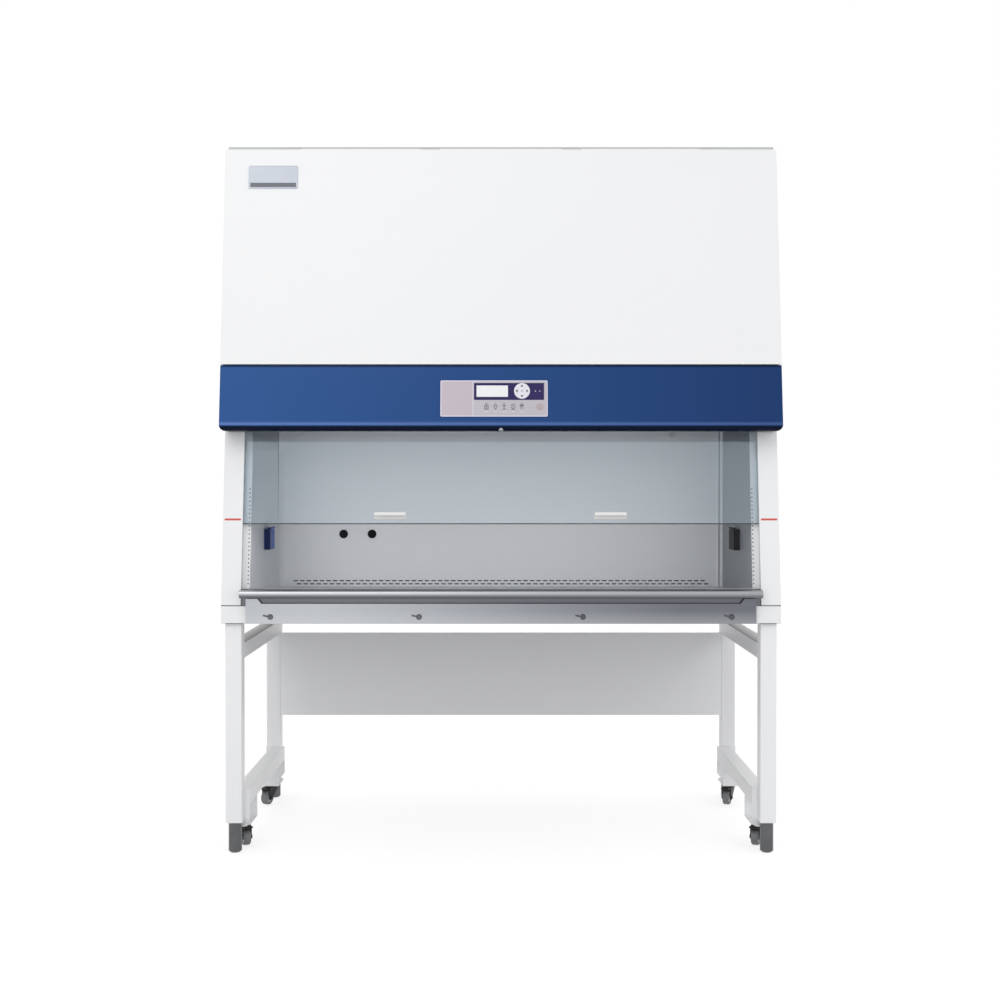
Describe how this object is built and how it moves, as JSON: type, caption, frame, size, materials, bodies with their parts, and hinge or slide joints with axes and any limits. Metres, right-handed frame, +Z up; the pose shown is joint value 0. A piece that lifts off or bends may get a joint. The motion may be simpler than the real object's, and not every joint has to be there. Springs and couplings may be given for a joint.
{
  "type": "biosafety cabinet",
  "caption": "Floor-standing biosafety cabinet with a sloping front, sliding glass sash, stainless work chamber, blue control fascia and an open stand on feet and casters.",
  "frame": {"origin": "on the floor, under the middle of the cabinet's bounding box", "axes": "+X to the user's right, +Y from the sash towards the rear panel, +Z up"},
  "size_m": [1.7, 0.835, 2.179],
  "materials": {
    "white_paint": "smooth off-white powder coat",
    "grey_white_paint": "smooth light powder coat",
    "blue_moulding": "glossy blue",
    "stainless": "fine brushed stainless steel",
    "steel_hardware": "turned steel",
    "black_chrome": "dark polished",
    "black_steel": "satin black",
    "grey_tyre": "grey tread and hub",
    "black_plastic": "moulded black",
    "blue_plastic": "glossy bright blue",
    "white_plastic": "moulded white",
    "clear_glass": "clear toughened",
    "aluminium": "extruded",
    "black_rubber": "toothed belt, moulded",
    "filter_pack": "pleated pack in a light frame",
    "silver_plate": "satin silver with a faint warm tint",
    "lilac_key": "glossy pale lilac"
  },
  "bodies": {
    "cabinet": {"stand_frame_left": "white_paint", "stand_frame_right": "white_paint", "rear_cross_panel": "white_paint", "caster_brackets": "white_paint", "base_frame": "white_paint", "side_panel_left": "white_paint", "side_panel_right": "white_paint", "rear_panel": "white_paint", "roof_panel": "grey_white_paint", "work_chamber": "stainless", "front_grille": "stainless", "armrest": "stainless", "apron": "stainless", "apron_screws": "steel_hardware", "drain_pan": "stainless", "diffuser": "stainless", "supply_filter": "filter_pack", "exhaust_filter": "filter_pack", "plenum": "grey_white_paint", "fan_mount": "aluminium", "sash_guides": "aluminium", "drive_belts": "black_rubber", "sash_drive": "black_steel", "outlet_boxes": "black_plastic", "lamps": "white_plastic", "service_plugs": "black_rubber", "airflow_sensor": "white_plastic", "power_unit": "black_steel", "caster_plates": "black_steel"},
    "work_tray": {"work_tray": "stainless"},
    "sash": {"sash_glass": "clear_glass", "sash_top_rail": "aluminium", "sash_pulls": "white_plastic"},
    "drive_shaft": {"drive_shaft": "steel_hardware"},
    "belt_idlers": {"belt_idlers": "aluminium"},
    "fan_impeller": {"fan_impeller": "aluminium"},
    "hood": {"hood_cover": "white_paint", "control_fascia": "blue_moulding", "control_plate": "silver_plate"},
    "nav_pad": {"nav_pad": "lilac_key"},
    "power_key": {"power_key": "lilac_key"},
    "hood_lock": {"hood_lock": "steel_hardware"},
    "outlet_lid_left": {"outlet_lid_left": "blue_plastic"},
    "outlet_lid_right": {"outlet_lid_right": "black_plastic"},
    "foot_fl": {"foot_fl": "black_chrome"},
    "caster_fork_fl": {"caster_fork_fl": "black_steel"},
    "caster_wheel_fl": {"caster_wheel_fl": "grey_tyre"},
    "caster_brake_fl": {"caster_brake_fl": "black_plastic"},
    "foot_fr": {"foot_fr": "black_chrome"},
    "caster_fork_fr": {"caster_fork_fr": "black_steel"},
    "caster_wheel_fr": {"caster_wheel_fr": "grey_tyre"},
    "caster_brake_fr": {"caster_brake_fr": "black_plastic"},
    "foot_rl": {"foot_rl": "black_chrome"},
    "caster_fork_rl": {"caster_fork_rl": "black_steel"},
    "caster_wheel_rl": {"caster_wheel_rl": "grey_tyre"},
    "caster_brake_rl": {"caster_brake_rl": "black_plastic"},
    "foot_rr": {"foot_rr": "black_chrome"},
    "caster_fork_rr": {"caster_fork_rr": "black_steel"},
    "caster_wheel_rr": {"caster_wheel_rr": "grey_tyre"},
    "caster_brake_rr": {"caster_brake_rr": "black_plastic"}
  },
  "joints": [
    {"name": "foot_fl_screw", "type": "slide", "parent": "cabinet", "child": "foot_fl", "axis": [0, 0, 1], "range_m": [-0.025, 0]},
    {"name": "caster_fl_swivel", "type": "hinge", "parent": "cabinet", "child": "caster_fork_fl", "pos_m": [-0.808, -0.2405, 0.06], "axis": [0, 0, 1], "continuous": true},
    {"name": "caster_fl_roll", "type": "hinge", "parent": "caster_fork_fl", "child": "caster_wheel_fl", "pos_m": [-0.79532, -0.26769, 0.027], "axis": [0.9063, 0.4226, 0], "continuous": true},
    {"name": "caster_fl_brake", "type": "hinge", "parent": "caster_fork_fl", "child": "caster_brake_fl", "pos_m": [-0.79279, -0.27313, 0.0575], "axis": [0.9063, 0.4226, 0], "range_deg": [0, 14]},
    {"name": "foot_fr_screw", "type": "slide", "parent": "cabinet", "child": "foot_fr", "axis": [0, 0, 1], "range_m": [-0.025, 0]},
    {"name": "caster_fr_swivel", "type": "hinge", "parent": "cabinet", "child": "caster_fork_fr", "pos_m": [0.808, -0.2405, 0.06], "axis": [0, 0, 1], "continuous": true},
    {"name": "caster_fr_roll", "type": "hinge", "parent": "caster_fork_fr", "child": "caster_wheel_fr", "pos_m": [0.79532, -0.26769, 0.027], "axis": [0.9063, -0.4226, 0], "continuous": true},
    {"name": "caster_fr_brake", "type": "hinge", "parent": "caster_fork_fr", "child": "caster_brake_fr", "pos_m": [0.79279, -0.27313, 0.0575], "axis": [0.9063, -0.4226, 0], "range_deg": [0, 14]},
    {"name": "foot_rl_screw", "type": "slide", "parent": "cabinet", "child": "foot_rl", "axis": [0, 0, 1], "range_m": [-0.025, 0]},
    {"name": "caster_rl_swivel", "type": "hinge", "parent": "cabinet", "child": "caster_fork_rl", "pos_m": [-0.808, 0.2845, 0.06], "axis": [0, 0, 1], "continuous": true},
    {"name": "caster_rl_roll", "type": "hinge", "parent": "caster_fork_rl", "child": "caster_wheel_rl", "pos_m": [-0.82068, 0.25731, 0.027], "axis": [0.9063, -0.4226, 0], "continuous": true},
    {"name": "caster_rl_brake", "type": "hinge", "parent": "caster_fork_rl", "child": "caster_brake_rl", "pos_m": [-0.82321, 0.25187, 0.0575], "axis": [0.9063, -0.4226, 0], "range_deg": [0, 14]},
    {"name": "foot_rr_screw", "type": "slide", "parent": "cabinet", "child": "foot_rr", "axis": [0, 0, 1], "range_m": [-0.025, 0]},
    {"name": "caster_rr_swivel", "type": "hinge", "parent": "cabinet", "child": "caster_fork_rr", "pos_m": [0.808, 0.2845, 0.06], "axis": [0, 0, 1], "continuous": true},
    {"name": "caster_rr_roll", "type": "hinge", "parent": "caster_fork_rr", "child": "caster_wheel_rr", "pos_m": [0.79532, 0.25731, 0.027], "axis": [0.9063, -0.4226, 0], "continuous": true},
    {"name": "caster_rr_brake", "type": "hinge", "parent": "caster_fork_rr", "child": "caster_brake_rr", "pos_m": [0.79279, 0.25187, 0.0575], "axis": [0.9063, -0.4226, 0], "range_deg": [0, 14]},
    {"name": "work_tray_lift", "type": "slide", "parent": "cabinet", "child": "work_tray", "axis": [0, 0, 1], "range_m": [0, 0.12]},
    {"name": "sash_slide", "type": "slide", "parent": "cabinet", "child": "sash", "axis": [0, 0.1305, 0.9914], "range_m": [-0.1942, 0.27]},
    {"name": "drive_shaft_turn", "type": "hinge", "parent": "cabinet", "child": "drive_shaft", "pos_m": [0, -0.205, 1.89587], "axis": [1, 0, 0], "range_deg": [-975, 1355]},
    {"name": "belt_idlers_turn", "type": "hinge", "parent": "cabinet", "child": "belt_idlers", "pos_m": [0, -0.28463, 1.29109], "axis": [1, 0, 0], "range_deg": [-975, 1355]},
    {"name": "fan_turn", "type": "hinge", "parent": "cabinet", "child": "fan_impeller", "pos_m": [0, 0.09, 1.8], "axis": [0, 1, 0], "continuous": true},
    {"name": "hood_hinge", "type": "hinge", "parent": "cabinet", "child": "hood", "pos_m": [0, -0.24461, 2.167], "axis": [-1, 0, 0], "range_deg": [0, 85]},
    {"name": "nav_pad_press", "type": "slide", "parent": "hood", "child": "nav_pad", "axis": [0, 0.9914, -0.1305], "range_m": [0, 0.001], "stiffness_N_per_m": 2000, "springref_m": -0.0005},
    {"name": "power_key_press", "type": "slide", "parent": "hood", "child": "power_key", "axis": [0, 0.9914, -0.1305], "range_m": [0, 0.001], "stiffness_N_per_m": 1500, "springref_m": -0.0005},
    {"name": "hood_lock_turn", "type": "hinge", "parent": "hood", "child": "hood_lock", "pos_m": [0, -0.37815, 1.305], "axis": [0, -0.6428, -0.766], "range_deg": [0, 90]},
    {"name": "outlet_lid_left_hinge", "type": "hinge", "parent": "cabinet", "child": "outlet_lid_left", "pos_m": [-0.752, -0.0375, 0.9835], "axis": [0, -1, 0], "range_deg": [0, 100]},
    {"name": "outlet_lid_right_hinge", "type": "hinge", "parent": "cabinet", "child": "outlet_lid_right", "pos_m": [0.752, -0.0725, 0.9835], "axis": [0, 1, 0], "range_deg": [0, 100]}
  ],
  "couplings": [
    {"joint": "drive_shaft_turn", "follows": "sash_slide", "rad_per_m": 87.26},
    {"joint": "belt_idlers_turn", "follows": "sash_slide", "rad_per_m": 87.26}
  ]
}
